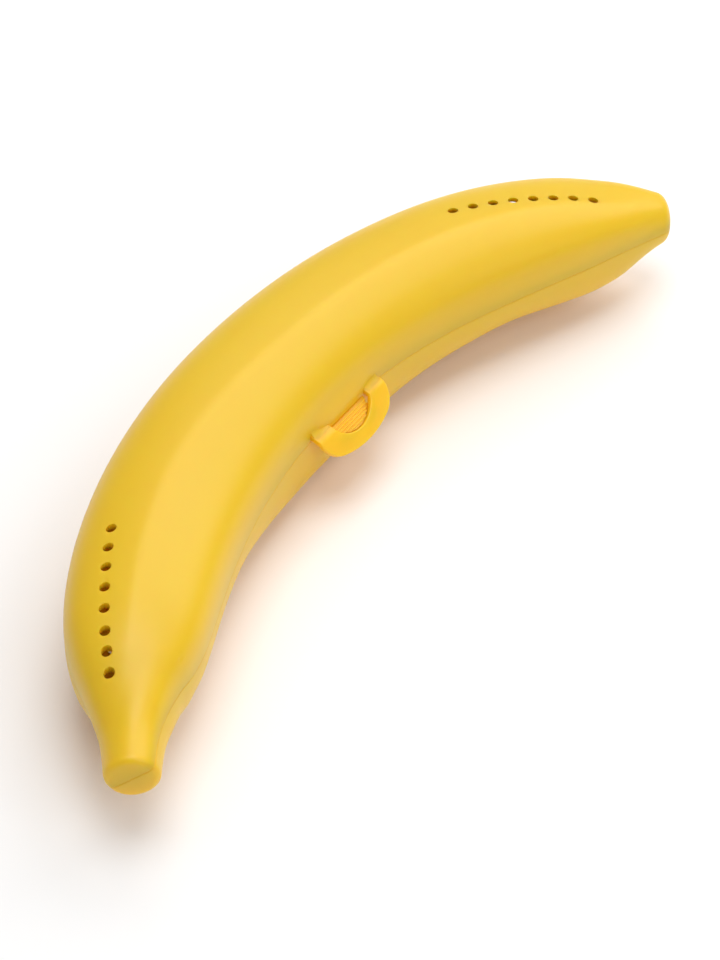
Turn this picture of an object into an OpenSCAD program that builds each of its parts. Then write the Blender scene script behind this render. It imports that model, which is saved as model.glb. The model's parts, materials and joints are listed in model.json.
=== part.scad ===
// Banana carrying case: two moulded half shells that part in the plane of the bend,
// hinged on the outer side of the bend and shut by a D-shaped loop on the inner side.
// X runs from the stem to the tip, +Y is the outer (hinge) side, +Z is the lid side.

/* [Body] */
// Length along the middle line from the latch to the stem end
stem_len = 139; // [120:1:160]
// Length along the middle line from the latch to the tip end
tip_len = 135; // [120:1:160]
// Bend radius of the middle line on the stem half
stem_bend_r = 176; // [150:1:230]
// Bend radius of the middle line on the tip half
tip_bend_r = 166; // [150:1:230]
// Length of the straight stem
stem_straight = 24; // [16:1:32]
// Outside width across the middle of the case
body_w = 41.2; // [38:0.2:48]
// Outside width of the stem end
stem_w = 13.4; // [12:0.2:18]
// Outside width of the tip end
tip_w = 12.4; // [12:0.2:18]
// Height of the lid above the parting line
lid_h = 19; // [15:0.5:22]
// Depth of the base below the parting line where it is fullest
base_h = 23.5; // [20:0.5:26]
// Depth of an equally wide base where it is leanest
base_lean_h = 17.7; // [16:0.1:20]
// Wall thickness of both shells
wall = 2; // [1.8:0.1:2.6]
// Rounding at the edges of the stem and tip end faces
end_round = 1.6; // [0.8:0.1:2.2]
// Turn of the parting line about the stem at its end, in degrees
stem_twist = 34; // [0:1:38]
// Length of stem over which the parting line turns
twist_len = 36; // [28:1:44]

/* [Section shape] */
// Squareness of the lid section: 2 is an ellipse
lid_square = 3.6; // [2.4:0.1:4]
// Squareness of the base section where it is fullest
base_square = 3.8; // [3:0.1:4.4]
// Squareness of the base section where it is leanest
base_lean_square = 2.2; // [2:0.1:2.8]
// Squareness of both end sections
end_square = 2.1; // [2:0.1:2.6]
// Share of the lid height lost from the ridge to the sides
ridge_fall = 0.26; // [0.1:0.01:0.3]
// Radius of the soft top of the ridge
ridge_soft = 1.4; // [1:0.1:4]
// Shift of the ridge towards the latch side on the tip half
ridge_shift = 4.5; // [0:0.1:6]

/* [Rim] */
// Gap between the two rims when the case is shut
seam_gap = 0.3; // [0.2:0.05:0.5]
// Height of the lip on the base that fits inside the lid
lip_h = 1.5; // [1:0.1:2]
// Height of the lip where it fades out in the stem
lip_low = 0.3; // [0.2:0.05:0.4]
// Width of the ledge outside the lip
lip_ledge = 1.1; // [1:0.05:1.2]
// Play between the lip and the lid
lip_play = 0.25; // [0.2:0.05:0.35]

/* [Vents] */
// Vent holes in each row
vent_count = 8; // [5:1:8]
// Diameter of a vent hole
vent_d = 3; // [2:0.1:3.4]
// Distance from the stem end to the nearest vent
stem_vent_end = 22.6; // [20:0.2:28]
// Distance from the tip end to the nearest vent
tip_vent_end = 23.8; // [20:0.2:28]
// Spacing of the vents along the stem row
stem_vent_pitch = 6; // [4.5:0.1:6.2]
// Spacing of the vents along the tip row
tip_vent_pitch = 5.6; // [4.5:0.1:6.2]
// Distance from the ridge to the vent nearest the stem end
stem_vent_off = 5; // [3:0.2:6]
// Distance from the ridge to the vent nearest the tip end
tip_vent_off = 1.4; // [0:0.2:4]
// Distance from the ridge to the vent of each row that is nearest the latch
inner_vent_off = 9.3; // [7:0.1:10]
// Distance from the tip end to the air notch in the rims
notch_end = 39; // [31:1:47]
// Length of the air notch
notch_w = 5; // [3:0.5:7]
// Depth of the air notch below the parting line
notch_d = 1.6; // [1:0.1:2]
// Rise of the air notch above the lip
notch_rise = 0.7; // [0.4:0.1:1.2]

/* [Hinges] */
// Distance from the middle of the case to the middle of each hinge
hinge_x = 9.6; // [8:0.2:14]
// Distance of the hinge axis outside the middle of the wall
hinge_out = 2; // [1.9:0.05:2.4]
// Drop of the hinge axis below the parting line
hinge_down = 1; // [0.6:0.1:1.2]
// Radius of a hinge knuckle
knuckle_r = 1.7; // [1.5:0.05:1.8]
// Length of one knuckle
knuckle_len = 3.6; // [3:0.1:4.4]
// End play between knuckles
knuckle_play = 0.2; // [0.1:0.05:0.4]
// Depth of a knuckle's foot along the shell wall
foot_drop = 4.5; // [3:0.5:6]
// Radius of a hinge pin
pin_r = 0.75; // [0.6:0.05:0.9]
// Running clearance of a pin in the lid knuckle
pin_play = 0.06; // [0.03:0.01:0.1]

/* [Latch] */
// Distance of the latch from the middle of the case, towards the tip
latch_at = 4.1; // [0:0.1:5]
// Width of the latch loop
loop_w = 29.4; // [27:0.2:32]
// Reach of the loop from its root
loop_reach = 8.6; // [8:0.1:9.6]
// Radius of the loop's outer bow
loop_bow = 30; // [26:1:40]
// Radius of the loop's outer corners
loop_corner = 7.2; // [6:0.1:8]
// Width of the window in the loop at its root
window_w = 15.9; // [14:0.1:17]
// Reach of the window from the root
window_reach = 4.5; // [4.2:0.1:5]
// Thickness of the loop
loop_t = 1.6; // [1.4:0.1:1.7]
// Chamfer on the edges of the loop
loop_edge = 0.4; // [0.2:0.1:0.6]
// Droop of the shut loop below the parting plane, in degrees
loop_slant = 50; // [46:1:54]
// Swing of the loop from shut to clear of the tab, in degrees
loop_swing = 40; // [30:1:44]
// Radius of the round root that the loop turns on
root_r = 1.1; // [1.05:0.05:1.25]
// Height of the root above the parting line
root_up = 0.7; // [0.5:0.1:1.2]
// Distance of the root outside the lid wall
root_out = 1; // [0.9:0.05:1.4]
// Running clearance round the root
root_play = 0.06; // [0.03:0.01:0.1]
// Thickness of the lug round the root
lug_t = 0.6; // [0.5:0.1:0.7]
// Rise of the lug's top from the root to the middle of the lid wall
lug_rise = 1.2; // [0.6:0.1:2]
// Room for the loop in the mouth of the lug
mouth_play = 0.12; // [0.1:0.02:0.2]
// Reach of the ledge between the lugs beyond the lid wall
ledge_out = 0.45; // [0.2:0.05:0.6]
// Thickness of the ledge at its outer edge
ledge_t = 1.3; // [0.9:0.1:1.6]
// Rise of the ledge's top from its outer edge to the middle of the lid wall
ledge_rise = 1.4; // [0.8:0.1:2]

/* [Catch tab] */
// Play between the tab and the edge of the window
tab_play = 0.45; // [0.4:0.05:0.6]
// Drop of the tab's top below the parting line
tab_top = 0.4; // [0.3:0.1:0.8]
// Thickness of the tab at its outer edge
tab_t = 2; // [1.5:0.1:2.5]
// Depth of the tab's foot on the base wall
tab_drop = 7; // [6:0.5:10]
// Grip ribs on the catch tab
rib_count = 5; // [3:1:6]
// Radius of a grip rib
rib_r = 0.3; // [0.2:0.05:0.35]

/* [Hidden] */
$fn = 64;
banana_yellow = [0.93, 0.76, 0.2];
pin_steel = [0.72, 0.73, 0.75];
LID = 1;
BASE = -1;

half_w = body_w / 2;
total_len = stem_len + tip_len;
cut_over = 1;
// How far the case has filled out, against the distance from an end as a share of that half
stem_fullness = [[0, 0], [0.07, 0.08], [0.14, 0.34], [0.22, 0.65], [0.3, 0.81], [0.42, 0.91],
    [0.6, 0.975], [0.85, 1], [1, 1]];
tip_fullness = [[0, 0], [0.12, 0.41], [0.24, 0.72], [0.42, 0.94], [0.65, 1], [1, 1]];
// How the base goes from lean to full, against the same share
stem_belly = [[0, 0.4], [0.1, 0.45], [0.2, 0.55], [0.34, 0.36], [0.5, 0.22], [0.62, 0.28],
    [0.74, 0.58], [0.86, 0.86], [1, 0.97]];
tip_belly = [[0, 0.45], [0.06, 0.66], [0.13, 0.85], [0.26, 0.39], [0.4, 0.05], [0.54, 0.12],
    [0.72, 0.37], [0.9, 0.8], [1, 0.97]];
// Share of a half over which the round end becomes the square body section
lid_blend = 0.3;
base_blend = 0.12;
ridge_from = -60;
ridge_to = 20;
lip_fade = 12;

// Stations along the shells, closer together towards the ends, and angles round a half section
body_steps = 42;
crowding = 0.4;
arc_steps = 26;
arc_angles = [for (k = [0 : arc_steps]) 180 * k / arc_steps];

function ease(x) = let (t = min(1, max(0, x))) t * t * (3 - 2 * t);

function slope(table, i) =
    let (a = max(0, i - 1), b = min(len(table) - 1, i + 1))
    (table[b][1] - table[a][1]) / (table[b][0] - table[a][0]);

// Smooth curve through the rows of a table
function curve_at(table, x) =
    let (i = max([for (k = [0 : len(table) - 2]) if (k == 0 || x >= table[k][0]) k]),
        span = table[i + 1][0] - table[i][0],
        t = (x - table[i][0]) / span,
        t2 = t * t,
        t3 = t2 * t)
    table[i][1] * (2 * t3 - 3 * t2 + 1) + slope(table, i) * span * (t3 - 2 * t2 + t)
        + table[i + 1][1] * (3 * t2 - 2 * t3) + slope(table, i + 1) * span * (t3 - t2);

// The middle line: an arc on each side of the latch, then the straight stem
function bend_r(s) = s < 0 ? stem_bend_r : tip_bend_r;
function arc_part(s) = max(s, stem_straight - stem_len);
function turn(s) = arc_part(s) / bend_r(s) * 180 / PI;
function spine(s) =
    let (r = bend_r(s), g = turn(s), rest = s - arc_part(s))
    [r * sin(g) + rest * cos(g), r * (cos(g) - 1) - rest * sin(g)];

// Share of a half between station s and its own end
function from_end(s) = s < 0 ? 1 + s / stem_len : 1 - s / tip_len;
function squared(s, side) = ease(from_end(s) / (side == LID ? lid_blend : base_blend));
function belly(s) = curve_at(s < 0 ? stem_belly : tip_belly, from_end(s));
function raw_half(s) =
    s < 0 ? stem_w / 2 + (half_w - stem_w / 2) * curve_at(stem_fullness, from_end(s))
          : tip_w / 2 + (half_w - tip_w / 2) * curve_at(tip_fullness, from_end(s));
function to_end(s) = min(s + stem_len, tip_len - s);
function rounded_half(s) =
    let (q = max(0, 1 - to_end(s) / end_round))
    raw_half(s) - end_round * (1 - sqrt(1 - q * q));
function full_height(s, side) =
    side == LID ? lid_h : base_lean_h + (base_h - base_lean_h) * belly(s);
function full_square(s, side) =
    side == LID ? lid_square : base_lean_square + (base_square - base_lean_square) * belly(s);
function height_ratio(s, side) = 1 + squared(s, side) * (full_height(s, side) / half_w - 1);
function squareness(s, side) = end_square + squared(s, side) * (full_square(s, side) - end_square);
function twist(s) = stem_twist * ease((twist_len - stem_len - s) / twist_len);
function lip_at(s) =
    lip_low + (lip_h - lip_low) * ease((s + stem_len - twist_len) / lip_fade);

// The ridge along the lid and the fall of the crown on both sides of it
function ridge_at(s) = -ridge_shift * ease((s - ridge_from) / (ridge_to - ridge_from));
function crown(s, eta) =
    let (q = eta - ridge_at(s))
    1 - ridge_fall * squared(s, LID) * (sqrt(q * q + ridge_soft * ridge_soft) - ridge_soft) / half_w;

// A point of the case from its station, its offset towards the hinge side and its height
function in_plan(s, across) = spine(s) + across * [sin(turn(s)), cos(turn(s))];
function place(s, eta, z) =
    let (w = twist(s), p = in_plan(s, eta * cos(w) + z * sin(w)))
    [p.x, p.y, z * cos(w) - eta * sin(w)];

// A point of a half section: angle 0 is the latch side, 180 the hinge side
function section_point(s, half, inset, side, angle) =
    let (a = half - inset,
        h = raw_half(s) * height_ratio(s, side) - inset - (raw_half(s) - half),
        n = squareness(s, side),
        r = pow(pow(abs(cos(angle)) / a, n) + pow(abs(sin(angle)) / h, n), -1 / n),
        eta = -r * cos(angle),
        z = r * sin(angle))
    place(s, eta, side == LID ? z * crown(s, eta) : -z);

even_stations = [for (k = [0 : body_steps])
    let (t = k / body_steps)
    end_round + (total_len - 2 * end_round) * (t - crowding * sin(360 * t) / (2 * PI))];
near_end = [0, 0.12 * end_round, 0.4 * end_round];
depths = concat(near_end, even_stations, [for (k = [2 : -1 : 0]) total_len - near_end[k]]);
station_count = len(depths);
function stations(inset) =
    [for (d = depths) inset - stem_len + d * (total_len - 2 * inset) / total_len];

// Rim of one shell: the step sits further in on the base than on the lid
function rim_step(side) = side == LID ? lip_ledge - lip_play : lip_ledge;
function rim_low(side) = side == LID ? seam_gap : 0;
function rim_high(s, side) = lip_at(s) + (side == LID ? seam_gap + lip_play : 0);
function rim_pair(s, half, z) = [place(s, -half, z), place(s, half, z)];

function outer_row(s, side) =
    let (half = rounded_half(s), ends = rim_pair(s, half, rim_low(side)))
    concat([ends[0]],
        [for (k = [1 : arc_steps - 1]) section_point(s, half, 0, side, arc_angles[k])],
        [ends[1]]);
function inner_row(s, side) =
    let (half = raw_half(s), ends = rim_pair(s, half - wall, rim_high(s, side)))
    concat([ends[0]],
        [for (k = [1 : arc_steps - 1]) section_point(s, half, wall, side, arc_angles[k])],
        [ends[1]]);
function step_row(s, side, z) = rim_pair(s, raw_half(s) - rim_step(side), z);

function shell_points(side) = concat(
    [for (s = stations(0)) each outer_row(s, side)],
    [for (s = stations(rim_step(side))) each step_row(s, side, rim_low(side))],
    [for (s = stations(rim_step(side))) each step_row(s, side, rim_high(s, side))],
    [for (s = stations(wall)) each inner_row(s, side)]);

// Faces of a shell, clockwise from outside on the lid and turned over on the base
row = arc_steps + 1;
low_start = station_count * row;
high_start = low_start + 2 * station_count;
inner_start = high_start + 2 * station_count;
function grid(start, j, k) = start + j * row + k;
function two_triangles(a, b, c, d) = [[a, b, c], [a, c, d]];
function skin(start, out) = [for (j = [0 : station_count - 2], k = [0 : arc_steps - 1])
    each out ? two_triangles(grid(start, j, k), grid(start, j, k + 1),
                   grid(start, j + 1, k + 1), grid(start, j + 1, k))
             : two_triangles(grid(start, j, k), grid(start, j + 1, k),
                   grid(start, j + 1, k + 1), grid(start, j, k + 1))];
function rim_loop(start, width) = concat(
    [for (j = [0 : station_count - 1]) start + j * width],
    [for (j = [station_count - 1 : -1 : 0]) start + j * width + width - 1]);
function strip(a, b) = [for (i = [0 : len(a) - 1])
    let (n = (i + 1) % len(a)) each two_triangles(a[i], a[n], b[n], b[i])];
function cap(start, j, up) =
    [for (k = [0 : arc_steps]) grid(start, j, up ? k : arc_steps - k)];
outer_loop = rim_loop(0, row);
low_loop = rim_loop(low_start, 2);
high_loop = rim_loop(high_start, 2);
inner_loop = rim_loop(inner_start, row);
lid_faces = concat(skin(0, true), skin(inner_start, false),
    [cap(0, 0, false), cap(0, station_count - 1, true)],
    [cap(inner_start, 0, true), cap(inner_start, station_count - 1, false)],
    strip(outer_loop, low_loop), strip(low_loop, high_loop), strip(high_loop, inner_loop));
function turned_over(faces) = [for (f = faces) [for (k = [len(f) - 1 : -1 : 0]) f[k]]];

// Places of the hinges and the latch
function edge_y(x, inward) =
    let (r = bend_r(x) + (inward ? -half_w : half_w))
    sqrt(r * r - x * x) - bend_r(x);
hinge_y = half_w + hinge_out;
hinge_z = -hinge_down;
hinge_len = 3 * knuckle_len + 2 * knuckle_play;
latch_wall_y = min(edge_y(latch_at - loop_w / 2, true), edge_y(latch_at + loop_w / 2, true));
ledge_y = latch_wall_y - ledge_out;
root_y = latch_wall_y - root_r - root_out;
inside_wall_y = wall / 2 - half_w;
// Behind the lugs the lip of the base stands inside the lid's skirt, up to this height
rim_room = lip_h + seam_gap + 2 * lip_play;
// The corner arcs run on into the bow
corner_x = loop_w / 2 - loop_corner;
bow_y = loop_bow - loop_reach;
corner_y = bow_y - sqrt(pow(loop_bow - loop_corner, 2) - corner_x * corner_x);
window_r = (window_w * window_w / 4 + window_reach * window_reach) / (2 * window_reach);
leg_w = (loop_w - window_w) / 2;
leg_starts = [-loop_w / 2, window_w / 2];
barrel_r = root_r + root_play + lug_t;
mouth = loop_t / 2 + mouth_play;
mouth_len = loop_w;
// Directions in the Y-Z plane at a droop: along the loop, and square to it on its outer side
function along(droop) = [-cos(droop), -sin(droop)];
function above(droop) = [-sin(droop), cos(droop)];
tab_edge = [root_y, root_up] + (window_reach - tab_play) * along(loop_slant);

// The origin is under the middle of the case's outline, at the lowest point of the base
plan = concat(shell_points(BASE), shell_points(LID));
centre_x = (max([for (p = plan) p.x]) + min([for (p = plan) p.x])) / 2;
centre_y = (hinge_y + knuckle_r + min([for (p = plan) p.y])) / 2;
floor_z = min([for (p = plan) p.z]);
module in_frame() translate([-centre_x, -centre_y, -floor_z]) children();

// A bar with a given Y-Z profile, from x along the case
module bar(x, length) translate([x, 0, 0]) rotate([90, 0, 90]) linear_extrude(length) children();

module shell(side) polyhedron(points = shell_points(side),
    faces = side == LID ? lid_faces : turned_over(lid_faces), convexity = 8);

// A knuckle with its foot sunk half way into the outer part of the shell's rim
module knuckle(x, side) {
    far_x = max(abs(x), abs(x + knuckle_len)) * sign(x);
    foot_y = edge_y(far_x, false) - rim_step(side) / 2;
    rim_z = side * rim_low(side);
    bar(x, knuckle_len) translate([hinge_y, hinge_z]) circle(knuckle_r);
    bar(x, knuckle_len) polygon([[hinge_y, hinge_z + side * knuckle_r], [hinge_y, hinge_z],
        [hinge_y - knuckle_r, hinge_z], [hinge_y - knuckle_r, rim_z], [foot_y, rim_z],
        [foot_y, side * foot_drop]]);
}

// Knuckle starts along X: the lid has the middle one of each three
function hinge_start(end) = end * hinge_x - hinge_len / 2;
function knuckle_start(end, k) = hinge_start(end) + k * (knuckle_len + knuckle_play);

module hinge_bore(radius) for (end = [-1, 1])
    bar(hinge_start(end) - cut_over, hinge_len + 2 * cut_over)
        translate([hinge_y, hinge_z]) circle(radius);

module pin(end) color(pin_steel) in_frame()
    bar(hinge_start(end), hinge_len) translate([hinge_y, hinge_z]) circle(pin_r);

// Upright vent holes in a row beside the ridge, from the vent nearest an end towards the latch
module vent_row(side, last_s, pitch, last_off) for (i = [0 : vent_count - 1]) {
    s = last_s - sign(last_s) * i * pitch;
    off = last_off + (inner_vent_off - last_off) * i / (vent_count - 1);
    p = in_plan(s, ridge_at(s) + off);
    deep = max(lid_h, base_h) + cut_over;
    translate([p.x, p.y, side == LID ? lip_h + cut_over : -deep])
        cylinder(d = vent_d, h = deep - lip_h - cut_over);
}

module vents(side) {
    vent_row(side, stem_vent_end - stem_len, stem_vent_pitch, stem_vent_off);
    vent_row(side, tip_len - tip_vent_end, tip_vent_pitch, tip_vent_off);
}

// Notch across both rims on the hinge side, towards the tip
module air_notch() {
    s = tip_len - notch_end;
    p = in_plan(s, raw_half(s));
    translate([p.x, p.y, -notch_d]) rotate(-turn(s))
        translate([-notch_w / 2, -2 * wall, 0]) cube([notch_w, 3 * wall, notch_d + lip_h + notch_rise]);
}

// The loop's own plane, with its root on X and the loop towards -Y
module on_loop_plane() translate([latch_at, root_y, root_up]) rotate([loop_slant, 0, 0]) children();

module disc(radius, edge) {
    flat = loop_t - 2 * loop_edge;
    translate([0, 0, -loop_t / 2]) cylinder(r1 = radius - edge, r2 = radius, h = loop_edge);
    translate([0, 0, -flat / 2]) cylinder(r = radius, h = flat);
    translate([0, 0, flat / 2]) cylinder(r1 = radius, r2 = radius - edge, h = loop_edge);
}

// The loop without its window: two round corners joined by a shallow bow
module loop_outline() {
    for (side = [-1, 1]) translate([side * corner_x, corner_y, 0]) disc(loop_corner, loop_edge);
    intersection() {
        translate([0, bow_y, 0]) disc(loop_bow, loop_edge);
        translate([0, bow_y, -loop_t]) linear_extrude(2 * loop_t)
            polygon([[0, 0], 2 * [corner_x, corner_y - bow_y], 2 * [-corner_x, corner_y - bow_y]]);
    }
}

// The part of the rim behind a lug that the base's lip needs
module lip_room(x, length) difference() {
    translate([x, latch_wall_y, -rim_room]) cube([length, half_w, 2 * rim_room]);
    translate([0, -bend_r(x), -2 * rim_room])
        cylinder(r = bend_r(x) - half_w + rim_step(LID), h = 4 * rim_room, $fn = 360);
}

// Two lugs on the lid that hold the loop's root, open where the legs swing, and a ledge between
module latch_lugs() difference() {
    union() {
        for (x = leg_starts) {
            bar(latch_at + x, leg_w) translate([root_y, root_up]) circle(barrel_r);
            bar(latch_at + x, leg_w) polygon([[inside_wall_y, rim_low(LID)], [root_y, rim_low(LID)],
                [root_y, root_up + barrel_r], [inside_wall_y, root_up + barrel_r + lug_rise]]);
        }
        bar(latch_at - loop_w / 2, loop_w) polygon([[inside_wall_y, rim_low(LID)], [ledge_y, rim_low(LID)],
            [ledge_y, rim_low(LID) + ledge_t], [inside_wall_y, rim_low(LID) + ledge_t + ledge_rise]]);
    }
    bar(latch_at - loop_w, 2 * loop_w) translate([root_y, root_up]) circle(root_r + root_play);
    bar(latch_at - loop_w, 2 * loop_w) translate([root_y, root_up]) polygon([[0, 0],
        mouth * above(loop_slant - loop_swing),
        mouth * above(loop_slant - loop_swing) + mouth_len * along(loop_slant - loop_swing),
        mouth_len * along(loop_slant) - mouth * above(loop_slant), -mouth * above(loop_slant)]);
    for (x = [-loop_w, 0]) lip_room(x, loop_w);
}

// Half-moon tab with grip ribs on the base, inside the window of the loop
function tab_face(t) = [ledge_y, -tab_top] + t * (tab_edge - [ledge_y, -tab_top]);
module catch_tab() intersection() {
    on_loop_plane() translate([0, window_r - window_reach, -2 * tab_drop])
        cylinder(r = window_r - tab_play, h = 4 * tab_drop);
    union() {
        bar(latch_at - window_w, 2 * window_w) polygon([[inside_wall_y, -tab_top], tab_face(0), tab_face(1),
            tab_face(1) - tab_t * above(loop_slant), [inside_wall_y, -tab_drop]]);
        for (i = [1 : rib_count]) bar(latch_at - window_w, 2 * window_w)
            translate(tab_face(i / (rib_count + 1))) circle(rib_r);
    }
}

module base_shell() color(banana_yellow) in_frame() difference() {
    union() {
        shell(BASE);
        for (end = [-1, 1], k = [0, 2]) knuckle(knuckle_start(end, k), BASE);
        catch_tab();
    }
    hinge_bore(pin_r);
    vents(BASE);
    air_notch();
}

module lid_shell() color(banana_yellow) in_frame() difference() {
    union() {
        shell(LID);
        for (end = [-1, 1]) knuckle(knuckle_start(end, 1), LID);
        latch_lugs();
    }
    hinge_bore(pin_r + pin_play);
    vents(LID);
    air_notch();
}

module latch_loop() color(banana_yellow) in_frame() on_loop_plane() {
    difference() {
        loop_outline();
        translate([0, window_r - window_reach, 0]) disc(window_r, -loop_edge);
        translate([-loop_w, 0, -loop_t]) cube([2 * loop_w, 2 * loop_bow, 2 * loop_t]);
    }
    for (x = leg_starts) translate([x, 0, 0]) rotate([0, 90, 0]) cylinder(r = root_r, h = leg_w);
}

module hinge_pin_stem_side() pin(-1);

module hinge_pin_tip_side() pin(1);

base_shell();
lid_shell();
latch_loop();
hinge_pin_stem_side();
hinge_pin_tip_side();
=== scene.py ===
"""Banana carrying case: moulded yellow half shells, D-shaped latch loop and steel hinge pins."""
import json
import math

import bmesh
import bpy
from mathutils import Matrix, Vector


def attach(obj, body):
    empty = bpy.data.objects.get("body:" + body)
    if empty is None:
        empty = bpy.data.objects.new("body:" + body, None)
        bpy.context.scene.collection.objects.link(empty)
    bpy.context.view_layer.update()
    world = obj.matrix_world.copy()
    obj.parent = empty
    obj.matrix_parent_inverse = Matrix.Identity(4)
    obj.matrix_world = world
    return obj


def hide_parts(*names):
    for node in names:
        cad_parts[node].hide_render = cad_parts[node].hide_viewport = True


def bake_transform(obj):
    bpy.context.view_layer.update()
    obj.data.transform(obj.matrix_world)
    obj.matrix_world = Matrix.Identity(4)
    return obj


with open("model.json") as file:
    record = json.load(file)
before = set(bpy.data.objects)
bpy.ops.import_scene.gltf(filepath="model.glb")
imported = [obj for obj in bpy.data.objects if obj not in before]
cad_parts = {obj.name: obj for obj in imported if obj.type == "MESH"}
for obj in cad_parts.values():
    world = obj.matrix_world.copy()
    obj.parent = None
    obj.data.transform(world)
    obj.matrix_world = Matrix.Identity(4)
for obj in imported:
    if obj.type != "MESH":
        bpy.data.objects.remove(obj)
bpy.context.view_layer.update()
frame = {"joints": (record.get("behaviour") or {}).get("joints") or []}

# Sizes of the case in millimetres and degrees, as the solids have them
MM = 0.001
STEM_LEN, TIP_LEN = 139, 135
STEM_BEND_R, TIP_BEND_R = 176, 166
STEM_STRAIGHT = 24
BODY_W, STEM_W, TIP_W = 41.2, 13.4, 12.4
LID_H, BASE_H, BASE_LEAN_H = 19, 23.5, 17.7
WALL = 2
END_ROUND = 1.6
STEM_TWIST, TWIST_LEN = 34, 36
LID_SQUARE, BASE_SQUARE, BASE_LEAN_SQUARE, END_SQUARE = 3.6, 3.8, 2.2, 2.1
BASE_BLEND = 0.12
RIDGE_FALL, RIDGE_SOFT, RIDGE_SHIFT = 0.26, 1.4, 4.5
RIDGE_FROM, RIDGE_TO = -60, 20
LIP_H, LIP_LOW, LIP_LEDGE, LIP_PLAY, LIP_FADE = 1.5, 0.3, 1.1, 0.25, 12
VENT_COUNT, VENT_D = 8, 3
STEM_VENT_END, STEM_VENT_PITCH, STEM_VENT_OFF = 22.6, 6, 5
TIP_VENT_END, TIP_VENT_PITCH, TIP_VENT_OFF = 23.8, 5.6, 1.4
INNER_VENT_OFF = 9.3
NOTCH_END, NOTCH_W, NOTCH_D = 39, 5, 1.6
HINGE_X, HINGE_OUT, HINGE_DOWN = 9.6, 2, 1
KNUCKLE_R, KNUCKLE_LEN, KNUCKLE_PLAY, FOOT_DROP = 1.7, 3.6, 0.2, 4.5
PIN_R, PIN_PLAY = 0.75, 0.06
LATCH_AT = 4.1
LOOP_W, LOOP_REACH, LOOP_BOW, LOOP_CORNER = 29.4, 8.6, 30, 7.2
WINDOW_W, WINDOW_REACH = 15.9, 4.5
LOOP_T, LOOP_EDGE, LOOP_SLANT = 1.6, 0.4, 50
ROOT_R, ROOT_UP, ROOT_OUT = 1.1, 0.7, 1
LEDGE_OUT, LEDGE_T = 0.45, 1.3
TAB_TOP, TAB_T, TAB_DROP = 0.4, 2, 7
RIB_COUNT, RIB_R = 5, 0.3

# How far the case has filled out, against the distance from an end as a share of that half.
# The neck of the stem is up to 2 mm slimmer here than in the solids, as its outline shows
STEM_FULLNESS = [(0, 0), (0.07, 0.05), (0.1, 0.11), (0.14, 0.23), (0.18, 0.37), (0.22, 0.55), (0.3, 0.78),
                 (0.42, 0.91), (0.6, 0.975), (0.85, 1), (1, 1)]
TIP_FULLNESS = [(0, 0), (0.12, 0.41), (0.24, 0.72), (0.42, 0.94), (0.65, 1), (1, 1)]
# How the base goes from lean to full, against the same share
STEM_BELLY = [(0, 0.4), (0.1, 0.45), (0.2, 0.55), (0.34, 0.36), (0.5, 0.22), (0.62, 0.28),
              (0.74, 0.58), (0.86, 0.86), (1, 0.97)]
TIP_BELLY = [(0, 0.45), (0.06, 0.66), (0.13, 0.85), (0.26, 0.39), (0.4, 0.05), (0.54, 0.12),
             (0.72, 0.37), (0.9, 0.8), (1, 0.97)]

# Shapes that only the looks need. The seam is drawn tighter than the 0.3 mm of the solids, the ridge
# runs further out to the tip, the two vents beside the neck are set in to suit its slimmer shape, and
# the air notch rises further into the lid
SEAM_GAP = 0.14
RIM_SOFT = 0.15
STEM_LID_BLEND, TIP_LID_BLEND = 0.3, 0.15
TIP_ROUND = 3
NECK_VENTS, NECK_VENT_SHIFT = 2, 1.9
NOTCH_RISE = 1.6
VENT_SOFT, VENT_DRAFT = 0.12, 0.3
PIN_CHAMFER = 0.2
KNUCKLE_SOFT = 0.25
FOOT_TUCK = 0.1
LEDGE_SOFT = 0.3
LEDGE_RISE = 7
LEG_FILLET = 3
LEG_SLANT = 12
LEG_BEND_R = 1.8
LEG_BEND_END = 0.6
LEG_SUNK = 0.5
FILLET_SOFT = 0.3
TAB_PLAY = 0.2
TAB_STEP, TAB_STEP_BACK = 1.2, 1.1
GATE_AT, GATE_OFF, GATE_R, GATE_DEEP = -109.5, -11.9, 0.8, 0.12

# Fineness of the meshes
STATION_STEP = 2.5
RING_POINTS = 160
ROUND_POINTS = 48
ARC_POINTS = 8
BALL_STEPS = 4
SOFT_STEPS, BAR_END_STEPS, STEM_END_STEPS, TIP_END_STEPS = 3, 2, 4, 6
CUT_DIST, MERGE_DIST = 1e-5, 1e-4
SHARP_ANGLE = 35

# Places worked out from the sizes
HALF_W = BODY_W / 2
HINGE_Y = HALF_W + HINGE_OUT
HINGE_LEN = 3 * KNUCKLE_LEN + 2 * KNUCKLE_PLAY
hinge_joint = next(j for j in frame["joints"] if j["name"] == "lid_hinge")
# Middle of the case on the parting plane, in the frame's metres
CASE_MIDDLE = Vector(hinge_joint["pos_m"]) - Vector((0, HINGE_Y, -HINGE_DOWN)) * MM
TO_FRAME = Matrix.Translation(CASE_MIDDLE) @ Matrix.Scale(MM, 4)


# The form of the case


def ease(x):
    """Smooth step from 0 to 1 as x goes from 0 to 1."""
    t = min(1, max(0, x))
    return t * t * (3 - 2 * t)


def slope(table, i):
    """Slope of a table's curve at one of its rows, from the rows beside it."""
    a, b = table[max(0, i - 1)], table[min(len(table) - 1, i + 1)]
    return (b[1] - a[1]) / (b[0] - a[0])


def curve_at(table, x):
    """Smooth curve through the rows of a table."""
    i = max(k for k in range(len(table) - 1) if k == 0 or x >= table[k][0])
    (x0, y0), (x1, y1) = table[i], table[i + 1]
    t = (x - x0) / (x1 - x0)
    rise = slope(table, i) * (t ** 3 - 2 * t * t + t) + slope(table, i + 1) * (t ** 3 - t * t)
    return y0 * (2 * t ** 3 - 3 * t * t + 1) + y1 * (3 * t * t - 2 * t ** 3) + rise * (x1 - x0)


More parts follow.
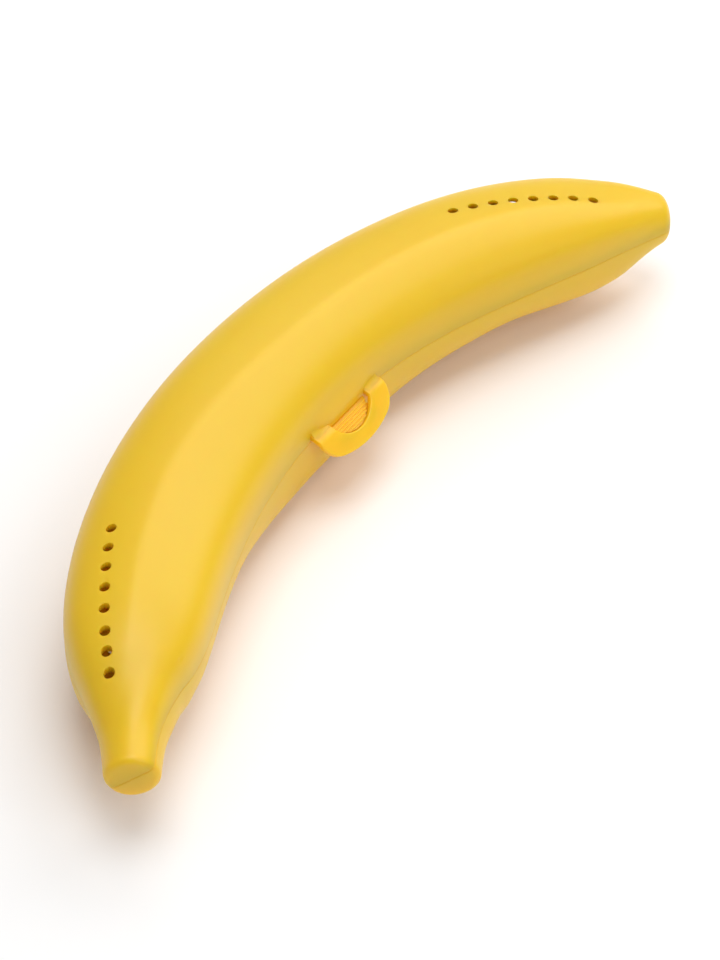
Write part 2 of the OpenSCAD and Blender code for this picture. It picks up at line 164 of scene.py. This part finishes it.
def from_end(s):
    """Distance of a station from its end of the case, as a share of that half."""
    return 1 + s / STEM_LEN if s < 0 else 1 - s / TIP_LEN


def half_width(s):
    """Half the width of the case at a station."""
    if s < 0:
        return STEM_W / 2 + (HALF_W - STEM_W / 2) * curve_at(STEM_FULLNESS, from_end(s))
    return TIP_W / 2 + (HALF_W - TIP_W / 2) * curve_at(TIP_FULLNESS, from_end(s))


def ridge_at(s):
    """Offset of the lid's ridge at a station, which moves to the latch side on the tip half."""
    return -RIDGE_SHIFT * ease((s - RIDGE_FROM) / (RIDGE_TO - RIDGE_FROM))


def lip_at(s):
    """Height of the base's lip at a station, which fades out where the stem twists."""
    return LIP_LOW + (LIP_H - LIP_LOW) * ease((s + STEM_LEN - TWIST_LEN) / LIP_FADE)


def section_point(s, inset, angle):
    """A point of the straightened case: station, offset to the hinge side and height."""
    upper = math.sin(angle) >= 0
    lid_blend = STEM_LID_BLEND if s < 0 else TIP_LID_BLEND
    squared = ease(from_end(s) / (lid_blend if upper else BASE_BLEND))
    belly = curve_at(STEM_BELLY if s < 0 else TIP_BELLY, from_end(s))
    tall = LID_H if upper else BASE_LEAN_H + (BASE_H - BASE_LEAN_H) * belly
    square = LID_SQUARE if upper else BASE_LEAN_SQUARE + (BASE_SQUARE - BASE_LEAN_SQUARE) * belly
    a = half_width(s) - inset
    h = half_width(s) * (1 + squared * (tall / HALF_W - 1)) - inset
    n = END_SQUARE + squared * (square - END_SQUARE)
    r = ((abs(math.cos(angle)) / a) ** n + (abs(math.sin(angle)) / h) ** n) ** (-1 / n)
    eta, z = r * math.cos(angle), r * math.sin(angle)
    if upper:
        q = eta - ridge_at(s)
        z *= 1 - RIDGE_FALL * squared * (math.hypot(q, RIDGE_SOFT) - RIDGE_SOFT) / HALF_W
    return Vector((s, eta, z))


def in_plan(s, across):
    """X and Y of a point beside the middle line, which is an arc on each half and a straight stem."""
    r = STEM_BEND_R if s < 0 else TIP_BEND_R
    on_arc = max(s, STEM_STRAIGHT - STEM_LEN)
    rest, turn = s - on_arc, on_arc / r
    return ((r + across) * math.sin(turn) + rest * math.cos(turn),
            (r + across) * math.cos(turn) - r - rest * math.sin(turn))


def bent(point):
    """A point of the straightened case carried onto the bend, with the stem's twist."""
    s, eta, z = point
    twist = math.radians(STEM_TWIST) * ease((TWIST_LEN - STEM_LEN - s) / TWIST_LEN)
    x, y = in_plan(s, eta * math.cos(twist) + z * math.sin(twist))
    return Vector((x, y, z * math.cos(twist) - eta * math.sin(twist)))


def edge_y(x, inward):
    """Y of the case's outline at x, on the latch side or on the hinge side."""
    bend = STEM_BEND_R if x < 0 else TIP_BEND_R
    r = bend + (-HALF_W if inward else HALF_W)
    return math.sqrt(r * r - x * x) - bend


def arc(centre, radius, start, end, count=ARC_POINTS):
    """Points on an arc between two angles in degrees."""
    turns = [math.radians(start + (end - start) * k / count) for k in range(count + 1)]
    return [(centre[0] + radius * math.cos(t), centre[1] + radius * math.sin(t)) for t in turns]


# Ways to make and cut a mesh


def everything(bm):
    """All of a bmesh, as the cutting operators take it."""
    return bm.verts[:] + bm.edges[:] + bm.faces[:]


def soften(bm, edges, offset, segments=SOFT_STEPS):
    """Rounds edges by an offset."""
    bmesh.ops.bevel(bm, geom=edges, offset=offset, offset_type="OFFSET", segments=segments, profile=0.5,
                    affect="EDGES", clamp_overlap=True, material=-1)


def as_object(name, bm):
    """Turns a finished bmesh into an object whose faces point outwards."""
    mesh = bpy.data.meshes.new(name)
    bmesh.ops.recalc_face_normals(bm, faces=bm.faces[:])
    bm.to_mesh(mesh)
    bm.free()
    made = bpy.data.objects.new(name, mesh)
    bpy.context.scene.collection.objects.link(made)
    return made


def combine(piece, operation, *tools):
    """Adds closed tools to a piece, cuts them out of it or keeps what they share, and removes them."""
    for tool in tools:
        step = piece.modifiers.new(tool.name, "BOOLEAN")
        step.operation = operation
        step.solver = "EXACT"
        step.object = tool
    graph = bpy.context.evaluated_depsgraph_get()
    mesh = bpy.data.meshes.new_from_object(piece.evaluated_get(graph))
    piece.modifiers.clear()
    piece.data = mesh
    for tool in tools:
        bpy.data.objects.remove(tool)


def extruded(points, step):
    """Closed prism: a flat face through the points, drawn out along a step."""
    bm = bmesh.new()
    face = bm.faces.new([bm.verts.new(point) for point in points])
    grown = bmesh.ops.extrude_face_region(bm, geom=[face])["geom"]
    bmesh.ops.translate(bm, vec=step, verts=[v for v in grown if isinstance(v, bmesh.types.BMVert)])
    bmesh.ops.recalc_face_normals(bm, faces=bm.faces[:])
    return bm


def end_edges(bm):
    """Edges of a bar's two ends, the only faces with more than four corners."""
    return [e for f in bm.faces if len(f.verts) > 4 for e in f.edges]


def bar(name, x, length, outline, soft=0):
    """Solid bar along X from a closed Y-Z outline, with softened ends."""
    bm = extruded([(x, y, z) for y, z in outline], (length, 0, 0))
    if soft:
        soften(bm, end_edges(bm), soft, BAR_END_STEPS)
    return as_object(name, bm)


# The hollow shells and their openings


def banana_body(inset, end_rounds=None):
    """Closed loft of the straightened case: x along its middle line, y across and z up."""
    bm = bmesh.new()
    first, last = inset - STEM_LEN, TIP_LEN - inset
    count = round((last - first) / STATION_STEP)
    rings = []
    for k in range(count + 1):
        s = first + (last - first) * k / count
        ring = bmesh.ops.create_circle(bm, segments=RING_POINTS, radius=1)["verts"]
        for v in ring:
            v.co = section_point(s, inset, math.atan2(v.co.y, v.co.x))
        rings.append(list({e for v in ring for e in v.link_edges}))
    for near, far in zip(rings, rings[1:]):
        bmesh.ops.bridge_loops(bm, edges=near + far)
    for ring in (rings[0], rings[-1]):
        bmesh.ops.contextual_create(bm, geom=ring)
    if end_rounds:
        soften(bm, rings[0], end_rounds[0], STEM_END_STEPS)
        soften(bm, [e for e in rings[-1] if e.is_valid], end_rounds[1], TIP_END_STEPS)
    return bm


def cut_level(bm, z, keep_upper, soft=0):
    """Cuts a closed straight body level at height z, closes the cut and may round its edge."""
    cut = bmesh.ops.bisect_plane(bm, geom=everything(bm), dist=CUT_DIST, plane_co=(0, 0, z),
                                 plane_no=(0, 0, 1), clear_inner=keep_upper,
                                 clear_outer=not keep_upper)["geom_cut"]
    edges = [e for e in cut if isinstance(e, bmesh.types.BMEdge)]
    bmesh.ops.edgeloop_fill(bm, edges=edges)
    if soft:
        soften(bm, edges, soft)
    return [v for v in cut if v.is_valid and isinstance(v, bmesh.types.BMVert)]


def rim_slab(inset, bottom, extra):
    """Slab of the straight body from a level up to the lip's height plus some extra."""
    bm = banana_body(inset)
    cut_level(bm, bottom, True)
    for v in cut_level(bm, LIP_H, False):
        v.co.z = lip_at(v.co.x) + extra
    return as_object("rim_slab", bm)


def bend_piece(piece):
    """Carries a straight piece onto the bend of the case."""
    for v in piece.data.vertices:
        v.co = bent(v.co)
    return piece


def skin_point(shell, s, across, side):
    """Point of a bent shell's outer skin over a place in plan, with the skin's normal there."""
    x, y = in_plan(s, across)
    _, point, normal, _ = shell.ray_cast((x, y, side * BODY_W), (0, 0, -side))
    return point, normal


def vent_places():
    """Station and offset of every vent, from the one nearest each end towards the latch."""
    rows = ((STEM_VENT_END - STEM_LEN, -STEM_VENT_PITCH, STEM_VENT_OFF, NECK_VENT_SHIFT),
            (TIP_LEN - TIP_VENT_END, TIP_VENT_PITCH, TIP_VENT_OFF, 0))
    for last_s, pitch, last_off, shift in rows:
        for i in range(VENT_COUNT):
            s = last_s - i * pitch + shift * max(0, 1 - i / NECK_VENTS)
            off = last_off + (INNER_VENT_OFF - last_off) * i / (VENT_COUNT - 1)
            yield s, ridge_at(s) + off


def vent_tools(shell, side):
    """Upright holes through a shell, and the tools that round their edges at the outer skin."""
    holes, rounds = bmesh.new(), bmesh.new()
    radius = VENT_D / 2 - VENT_SOFT
    outline = [(0, -VENT_SOFT)] + arc((radius + VENT_SOFT, -VENT_SOFT), VENT_SOFT, 180, 90)
    outline += [(radius + VENT_SOFT, WALL), (0, WALL)]
    for s, across in vent_places():
        point, normal = skin_point(shell, s, across, side)
        # The lid's holes near the tip widen inwards, so that one of them shows daylight through the notch
        widening = 2 * WALL * VENT_DRAFT if side > 0 and s > 0 else 0
        bmesh.ops.create_cone(holes, cap_ends=True, segments=ROUND_POINTS, radius1=radius + widening,
                              radius2=radius - widening, depth=4 * WALL, matrix=Matrix.Translation(point))
        outwards = normal.orthogonal().normalized()
        verts = [rounds.verts.new(point + r * outwards + rise * normal) for r, rise in outline]
        edges = [rounds.edges.new(pair) for pair in zip(verts, verts[1:])]
        bmesh.ops.spin(rounds, geom=verts + edges, axis=normal, cent=point, angle=2 * math.pi,
                       steps=ROUND_POINTS, use_merge=True)
    bmesh.ops.remove_doubles(rounds, verts=rounds.verts[:], dist=MERGE_DIST)
    return as_object("vent_holes", holes), as_object("vent_rounds", rounds)


def gate_tool(shell):
    """Ball that leaves the faint dimple of the moulding gate on the lid."""
    point, normal = skin_point(shell, GATE_AT, GATE_OFF, 1)
    radius = (GATE_R ** 2 + GATE_DEEP ** 2) / (2 * GATE_DEEP)
    bm = bmesh.new()
    bmesh.ops.create_icosphere(bm, subdivisions=BALL_STEPS, radius=radius,
                               matrix=Matrix.Translation(point + normal * (radius - GATE_DEEP)))
    return as_object("gate_ball", bm)


def notch_tool():
    """Block that cuts the air notch out of both rims, on the hinge side."""
    bm = bmesh.new()
    at = TIP_LEN - NOTCH_END
    tall = NOTCH_D + LIP_H + NOTCH_RISE
    place = Matrix.Translation((at, half_width(at), tall / 2 - NOTCH_D))
    bmesh.ops.create_cube(bm, size=1, matrix=place @ Matrix.Diagonal((NOTCH_W, 4 * WALL, tall, 1)))
    return bend_piece(as_object("notch_tool", bm))


# The hinges


def rod(name, x, length, radius, soft=0):
    """Round bar on a hinge axis, with softened ends."""
    bm = bmesh.new()
    along_x = Matrix.Rotation(math.pi / 2, 4, "Y")
    place = Matrix.Translation((x + length / 2, HINGE_Y, -HINGE_DOWN)) @ along_x
    bmesh.ops.create_cone(bm, cap_ends=True, segments=ROUND_POINTS, radius1=radius, radius2=radius,
                          depth=length, matrix=place)
    if soft:
        soften(bm, end_edges(bm), soft, BAR_END_STEPS)
    return as_object(name, bm)


def hinge_start(end):
    """X where a hinge begins: end is -1 for the stem side and 1 for the tip side."""
    return end * HINGE_X - HINGE_LEN / 2


def knuckles(side, places):
    """Hinge knuckles of one shell, each on a foot that is sunk into the rim.

    A foot is tucked in all round, so that none of its faces lies in a face of the knuckle or the rim.
    """
    made = []
    rim = FOOT_TUCK + (SEAM_GAP if side > 0 else 0)
    inside = KNUCKLE_R - FOOT_TUCK
    rim_step = LIP_LEDGE - LIP_PLAY if side > 0 else LIP_LEDGE
    for end in (-1, 1):
        for k in places:
            x = hinge_start(end) + k * (KNUCKLE_LEN + KNUCKLE_PLAY)
            far_x = max(abs(x), abs(x + KNUCKLE_LEN)) * end
            foot_y = edge_y(far_x, False) - rim_step / 2
            made.append(rod("knuckle", x, KNUCKLE_LEN, KNUCKLE_R, KNUCKLE_SOFT))
            made.append(bar("knuckle_foot", x + FOOT_TUCK, KNUCKLE_LEN - 2 * FOOT_TUCK, [
                (HINGE_Y, side * inside - HINGE_DOWN), (HINGE_Y, -HINGE_DOWN),
                (HINGE_Y - inside, -HINGE_DOWN), (HINGE_Y - inside, side * rim),
                (foot_y, side * rim), (foot_y, side * FOOT_DROP)]))
    return made


def hinge_bores(radius):
    """Tools that bore both hinges for their pins."""
    return [rod("hinge_bore", hinge_start(end) - WALL, HINGE_LEN + 2 * WALL, radius) for end in (-1, 1)]


# The latch, with its places worked out from its sizes
LATCH_WALL_Y = min(edge_y(LATCH_AT - LOOP_W / 2, True), edge_y(LATCH_AT + LOOP_W / 2, True))
LEDGE_Y = LATCH_WALL_Y - LEDGE_OUT
ROOT_Y = LATCH_WALL_Y - ROOT_R - ROOT_OUT
INSIDE_WALL_Y = WALL / 2 - HALF_W
LEG_W = (LOOP_W - WINDOW_W) / 2
BOW_Y = LOOP_BOW - LOOP_REACH
CORNER_X = LOOP_W / 2 - LOOP_CORNER
CORNER_Y = BOW_Y - math.sqrt((LOOP_BOW - LOOP_CORNER) ** 2 - CORNER_X ** 2)
WINDOW_R = (WINDOW_W ** 2 / 4 + WINDOW_REACH ** 2) / (2 * WINDOW_REACH)
# Where the bend of the legs ends on the lid's side, as a distance from the root down the loop
LEG_BEND_START = LEG_BEND_END - LEG_BEND_R * math.radians(LOOP_SLANT - LEG_SLANT)


def along(droop):
    """Y and Z of a step down a strap that droops by some degrees below the parting plane."""
    return Vector((-math.cos(math.radians(droop)), -math.sin(math.radians(droop))))


def above(droop):
    """Y and Z of a step square to such a strap, on its outer side."""
    return Vector((-math.sin(math.radians(droop)), math.cos(math.radians(droop))))


def strap_point(x, v, out):
    """Carries a point of the flat loop onto its place: v runs from the root down the loop."""
    bend_from = Vector((ROOT_Y, ROOT_UP)) + LEG_BEND_END * along(LOOP_SLANT)
    centre = bend_from - LEG_BEND_R * above(LOOP_SLANT)
    droop = LOOP_SLANT - math.degrees(max(0, LEG_BEND_END - v) / LEG_BEND_R)
    if droop < LEG_SLANT:
        rest = LEG_BEND_START - v
        y, z = centre + (LEG_BEND_R + out) * above(LEG_SLANT) - rest * along(LEG_SLANT)
    else:
        y, z = centre + (LEG_BEND_R + out) * above(droop) + max(0, v - LEG_BEND_END) * along(LOOP_SLANT)
    return Vector((x, y, z))


def leg_top(x):
    """Where the edge of a leg at x ends inside the lid's wall, as a distance down the flat loop."""
    inside = edge_y(LATCH_AT + x, True) + LEG_SUNK
    shelf = inside - strap_point(x, LEG_BEND_START, 0).y
    return x, LEG_BEND_START - shelf / math.cos(math.radians(LEG_SLANT))


def loop_outline():
    """Outline of the flat loop: two legs, round outer corners, a shallow bow and a half-moon window."""
    lean = math.degrees(math.atan2(CORNER_X, BOW_Y - CORNER_Y))
    right = [leg_top(LOOP_W / 2)] + arc((CORNER_X, -CORNER_Y), LOOP_CORNER, 0, 90 - lean)
    bow = arc((0, -BOW_Y), LOOP_BOW, 90 - lean, 90 + lean, 2 * ARC_POINTS)[1:-1]
    left = arc((-CORNER_X, -CORNER_Y), LOOP_CORNER, 90 + lean, 180) + [leg_top(-LOOP_W / 2)]
    reach = math.degrees(math.asin(WINDOW_W / 2 / WINDOW_R))
    window = arc((0, WINDOW_REACH - WINDOW_R), WINDOW_R, 90 + reach, 90 - reach, 4 * ARC_POINTS)
    return right + bow + left + [leg_top(-WINDOW_W / 2)] + window + [leg_top(WINDOW_W / 2)]


def latch_loop():
    """The loop with its legs, cut flat, softened and then bent where the legs leave the lid."""
    bm = extruded([(x, v, -LOOP_T / 2) for x, v in loop_outline()], (0, 0, LOOP_T))
    rims = [e for e in bm.edges if abs(e.verts[0].co.z - e.verts[1].co.z) < LOOP_T / 2]
    soften(bm, rims, LOOP_EDGE)
    cuts = 2 * ARC_POINTS
    for k in range(cuts + 1):
        v = LEG_BEND_END + (LEG_BEND_START - LEG_BEND_END) * k / cuts
        bmesh.ops.bisect_plane(bm, geom=everything(bm), dist=CUT_DIST, plane_co=(0, v, 0),
                               plane_no=(0, 1, 0))
    for vert in bm.verts:
        vert.co = strap_point(LATCH_AT + vert.co.x, vert.co.y, vert.co.z)
    return as_object("latch_loop_moulded", bm)


def leg_fillets():
    """Soft hollow fillets that carry the lid's wall into the top of each leg."""
    made = []
    tilt = math.radians(LEG_SLANT)
    toe = strap_point(0, LEG_BEND_START, LOOP_T / 2)
    rise = LEG_FILLET * (1 - math.sin(tilt)) / math.cos(tilt)
    bottom = SEAM_GAP + LEDGE_SOFT
    for x in (-LOOP_W / 2, WINDOW_W / 2):
        wall_y = max(edge_y(LATCH_AT + x, True), edge_y(LATCH_AT + x + LEG_W, True))
        top = toe.z + math.tan(tilt) * (wall_y - toe.y) + rise
        hollow = arc((wall_y - LEG_FILLET, top), LEG_FILLET, 0, LEG_SLANT - 90)
        outline = hollow + [(hollow[-1][0], bottom), (INSIDE_WALL_Y, bottom), (INSIDE_WALL_Y, top)]
        start = LATCH_AT + x + FILLET_SOFT
        made.append(bar("leg_fillet", start, LEG_W - 2 * FILLET_SOFT, outline, FILLET_SOFT))
    return made


def flare_latch_wall(lid):
    """Carries the lid's wall out to a straight edge between the legs of the loop."""
    half_window = WINDOW_W / 2
    for v in lid.data.vertices:
        if v.co.y > INSIDE_WALL_Y or abs(v.co.x - LATCH_AT) > LOOP_W / 2:
            continue
        beside = ease((abs(v.co.x - LATCH_AT) - half_window) / (LEG_W - LEDGE_SOFT))
        raised = ease((v.co.z - LEDGE_T) / LEDGE_RISE)
        v.co.y -= (edge_y(v.co.x, True) - LEDGE_Y) * (1 - beside) * (1 - raised)


def catch_tab():
    """Half-moon tab with grip ribs on the base, inside the window of the loop."""
    root = Vector((ROOT_Y, ROOT_UP))
    near = Vector((LEDGE_Y, -TAB_TOP))
    far = root + (WINDOW_REACH - TAB_PLAY) * along(LOOP_SLANT)
    facing = math.degrees(math.atan2(near.y - far.y, near.x - far.x))
    outline = [(INSIDE_WALL_Y, -TAB_TOP), near]
    for i in range(RIB_COUNT):
        middle = near.lerp(far, (i + 1) / (RIB_COUNT + 1))
        outline += arc(middle, RIB_R, facing, facing + 180)
    outline += [far, far - TAB_T * above(LOOP_SLANT), (INSIDE_WALL_Y, -TAB_DROP)]
    tab = bar("catch_tab", LATCH_AT - WINDOW_W, 2 * WINDOW_W, outline)
    bm = bmesh.new()
    bmesh.ops.create_cone(bm, cap_ends=True, segments=4 * ROUND_POINTS, radius1=WINDOW_R - TAB_PLAY,
                          radius2=WINDOW_R - TAB_PLAY, depth=4 * TAB_DROP)
    centre = root - (WINDOW_R - WINDOW_REACH) * along(LOOP_SLANT)
    slant = Matrix.Rotation(math.radians(LOOP_SLANT), 4, "X")
    place = Matrix.Translation((LATCH_AT, centre.x, centre.y)) @ slant
    bmesh.ops.transform(bm, matrix=place, verts=bm.verts)
    combine(tab, "INTERSECT", as_object("half_moon", bm))
    return tab


def tab_step():
    """Step round the foot of the tab, behind the loop, which closes the view past the tab's edge."""
    far = Vector((ROOT_Y, ROOT_UP)) + (WINDOW_REACH + TAB_STEP) * along(LOOP_SLANT)
    front, back = (far - out * above(LOOP_SLANT) for out in (TAB_STEP_BACK, TAB_T))
    top = front - (WINDOW_REACH + TAB_STEP) / 2 * along(LOOP_SLANT)
    outline = [(INSIDE_WALL_Y, top.y), top, front, back, (INSIDE_WALL_Y, -TAB_DROP)]
    return bar("tab_step", LATCH_AT - WINDOW_W / 2, WINDOW_W, outline)


# The two finished shells


def lid_shell():
    """Upper half: hollow, with a rabbet in its rim, vents, the middle knuckles and the loop's fillets."""
    bm = banana_body(0, (END_ROUND, TIP_ROUND))
    cut_level(bm, SEAM_GAP, True, RIM_SOFT)
    lid = bend_piece(as_object("lid_shell_moulded", bm))
    flare_latch_wall(lid)
    cuts = [*vent_tools(lid, 1), gate_tool(lid), notch_tool(), *hinge_bores(PIN_R + PIN_PLAY)]
    combine(lid, "UNION", *knuckles(1, [1]), *leg_fillets())
    combine(lid, "DIFFERENCE", bend_piece(as_object("hollow", banana_body(WALL))),
            bend_piece(rim_slab(LIP_LEDGE - LIP_PLAY, -LIP_H, SEAM_GAP + LIP_PLAY)), *cuts)
    return lid


def base_shell():
    """Lower half: hollow, with a raised lip, vents, the outer knuckles and the catch tab."""
    bm = banana_body(0, (END_ROUND, TIP_ROUND))
    cut_level(bm, 0, False, RIM_SOFT)
    base = bend_piece(as_object("base_shell_moulded", bm))
    cuts = [*vent_tools(base, -1), notch_tool(), *hinge_bores(PIN_R)]
    combine(base, "UNION", bend_piece(rim_slab(LIP_LEDGE, -LIP_H, 0)), *knuckles(-1, [0, 2]), catch_tab(),
            tab_step())
    combine(base, "DIFFERENCE", bend_piece(as_object("hollow", banana_body(WALL))), *cuts)
    return base


# Materials


def to_linear(hex_colour):
    """sRGB hex value as linear red, green, blue and alpha."""
    parts = [int(hex_colour[i:i + 2], 16) / 255 for i in (0, 2, 4)]
    return [c / 12.92 if c <= 0.04045 else ((c + 0.055) / 1.055) ** 2.4 for c in parts] + [1]


def add_node(tree, kind, values=None, links=None):
    """Adds a node, sets its input values, and links other nodes' outputs to it."""
    node = tree.nodes.new(kind)
    for key, value in (values or {}).items():
        node.inputs[key].default_value = value
    for key, source in (links or {}).items():
        tree.links.new(source, node.inputs[key])
    return node


def new_material(name):
    """A material with its node tree and its shader."""
    material = bpy.data.materials.new(name)
    material.use_nodes = True
    tree = material.node_tree
    return material, tree, tree.nodes["Principled BSDF"]


def per_mm(size):
    """Texture scale of a pattern whose marks are some millimetres across."""
    return 1 / (size * MM)


def moulded_polypropylene():
    """Injection-moulded polypropylene: a warm, slightly translucent yellow with a satin gloss."""
    material, tree, shader = new_material("moulded_polypropylene")
    shader.inputs["IOR"].default_value = 1.49
    shader.inputs["Subsurface Weight"].default_value = 0.5
    shader.inputs["Subsurface Radius"].default_value = (1, 0.45, 0.05)
    shader.inputs["Subsurface Scale"].default_value = 15 * MM
    place = add_node(tree, "ShaderNodeTexCoord").outputs["Object"]
    # Broad drifts of colour, as the pigment spreads with the flow of the melt
    flow = add_node(tree, "ShaderNodeTexNoise", values={"Scale": per_mm(45), "Detail": 2},
                    links={"Vector": place})
    shade = add_node(tree, "ShaderNodeValToRGB", links={"Fac": flow.outputs["Fac"]})
    shade.color_ramp.elements[0].color = to_linear("FCB614")
    shade.color_ramp.elements[1].color = to_linear("FEBD1A")
    tree.links.new(shade.outputs["Color"], shader.inputs["Base Color"])
    # Polish of the tool wears unevenly, so the gloss changes a little every few millimetres
    polish = add_node(tree, "ShaderNodeTexNoise", values={"Scale": per_mm(9), "Detail": 3},
                      links={"Vector": place})
    gloss = add_node(tree, "ShaderNodeMapRange", values={"To Min": 0.34, "To Max": 0.44},
                     links={"Value": polish.outputs["Fac"]})
    tree.links.new(gloss.outputs["Result"], shader.inputs["Roughness"])
    # Spark-eroded grain of the tool, really under 0.1 mm, drawn at 0.5 mm so that it shows
    grain = add_node(tree, "ShaderNodeTexNoise", values={"Scale": per_mm(0.5), "Detail": 1},
                     links={"Vector": place})
    bump = add_node(tree, "ShaderNodeBump", values={"Strength": 0.04, "Distance": 0.05 * MM},
                    links={"Height": grain.outputs["Fac"]})
    tree.links.new(bump.outputs["Normal"], shader.inputs["Normal"])
    return material


def drawn_steel():
    """Drawn steel wire: bright, with fine die lines along the pin."""
    material, tree, shader = new_material("drawn_steel_wire")
    shader.inputs["Base Color"].default_value = to_linear("C4C6C9")
    shader.inputs["Metallic"].default_value = 1
    place = add_node(tree, "ShaderNodeTexCoord").outputs["Object"]
    # Die lines about 0.1 mm apart, stretched along the pin's length
    stretch = add_node(tree, "ShaderNodeMapping", values={"Scale": (0.02, 1, 1)}, links={"Vector": place})
    lines = add_node(tree, "ShaderNodeTexNoise", values={"Scale": per_mm(0.1), "Detail": 2},
                     links={"Vector": stretch.outputs["Vector"]})
    gloss = add_node(tree, "ShaderNodeMapRange", values={"To Min": 0.22, "To Max": 0.4},
                     links={"Value": lines.outputs["Fac"]})
    tree.links.new(gloss.outputs["Result"], shader.inputs["Roughness"])
    bump = add_node(tree, "ShaderNodeBump", values={"Strength": 0.2, "Distance": 0.01 * MM},
                    links={"Height": lines.outputs["Fac"]})
    tree.links.new(bump.outputs["Normal"], shader.inputs["Normal"])
    return material


def matt_paint():
    """Matt white paint on a board: no gloss, so the floor shows nothing but the soft shadow."""
    material, tree, shader = new_material("matt_white_paint")
    shader.inputs["Base Color"].default_value = to_linear("F3F3F3")
    shader.inputs["Roughness"].default_value = 0.9
    return material


# The pieces, each in place of its node


def finish_piece(piece, material, node):
    """Puts a finished piece into the frame, smooth between its sharp edges, in place of its node."""
    piece.data.transform(TO_FRAME)
    piece.data.materials.clear()
    piece.data.materials.append(material)
    piece.data.polygons.foreach_set("use_smooth", [True] * len(piece.data.polygons))
    piece.data.set_sharp_from_angle(angle=math.radians(SHARP_ANGLE))
    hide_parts(node)


plastic = moulded_polypropylene()
steel = drawn_steel()
lid = lid_shell()
finish_piece(lid, plastic, "lid_shell")
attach(lid, "lid")
base = base_shell()
finish_piece(base, plastic, "base_shell")
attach(base, "base")
loop = latch_loop()
finish_piece(loop, plastic, "latch_loop")
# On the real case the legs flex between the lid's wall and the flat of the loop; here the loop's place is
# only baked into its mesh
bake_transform(loop)
for end, node in ((-1, "hinge_pin_stem_side"), (1, "hinge_pin_tip_side")):
    pin = rod(node + "_wire", hinge_start(end), HINGE_LEN, PIN_R, PIN_CHAMFER)
    finish_piece(pin, steel, node)
    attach(pin, "base")

# Camera at the photograph's viewing angle, in millimetres from the middle of the case
CAMERA_AT = Vector((-464.05, -340.95, 556.38))
CAMERA_AIM = Vector((0.15, -29.55, -18.02))
CAMERA_ROLL = math.radians(0.73)
CAMERA_LENS, CAMERA_SENSOR = 112.9, 36
camera_data = bpy.data.cameras.new("camera")
camera_data.lens = CAMERA_LENS
camera_data.sensor_width = CAMERA_SENSOR
camera = bpy.data.objects.new("camera", camera_data)
bpy.context.scene.collection.objects.link(camera)
aim = (CAMERA_AIM - CAMERA_AT).to_track_quat("-Z", "Y").to_matrix().to_4x4()
roll = Matrix.Rotation(CAMERA_ROLL, 4, "Z")
camera.matrix_world = Matrix.Translation(TO_FRAME @ CAMERA_AT) @ aim @ roll
bpy.context.scene.camera = camera


# Studio light and floor, in metres and watts
SOFT_BOX_SIZE = 0.7
SOFT_BOXES = [("top", (0, 0, 1.1), 5.8), ("back", (0.645, 0.434, 0.779), 2.8),
              ("back_right", (0.798, -0.156, 0.74), 3.2), ("right", (-0.156, -0.798, 0.74), 3.1)]
WORLD_STRENGTH = 0.33
FLOOR_REACH = 6


def soft_box(name, at, power):
    """Square studio soft box that faces the case."""
    data = bpy.data.lights.new(name, "AREA")
    data.size = SOFT_BOX_SIZE
    data.energy = power
    lamp = bpy.data.objects.new(name, data)
    lamp.location = at
    lamp.rotation_euler = (-Vector(at)).to_track_quat("-Z", "Y").to_euler()
    bpy.context.scene.collection.objects.link(lamp)


for side, at, power in SOFT_BOXES:
    soft_box("soft_box_" + side, at, power)

world = bpy.data.worlds.new("white_studio")
bpy.context.scene.world = world
world.use_nodes = True
sky = world.node_tree.nodes["Background"]
sky.inputs["Color"].default_value = to_linear("FFFFFF")
sky.inputs["Strength"].default_value = WORLD_STRENGTH

bm = bmesh.new()
bmesh.ops.create_grid(bm, x_segments=1, y_segments=1, size=FLOOR_REACH)
floor = as_object("floor", bm)
floor.data.materials.append(matt_paint())

bpy.context.scene.view_settings.view_transform = "Standard"

bpy.context.view_layer.update()
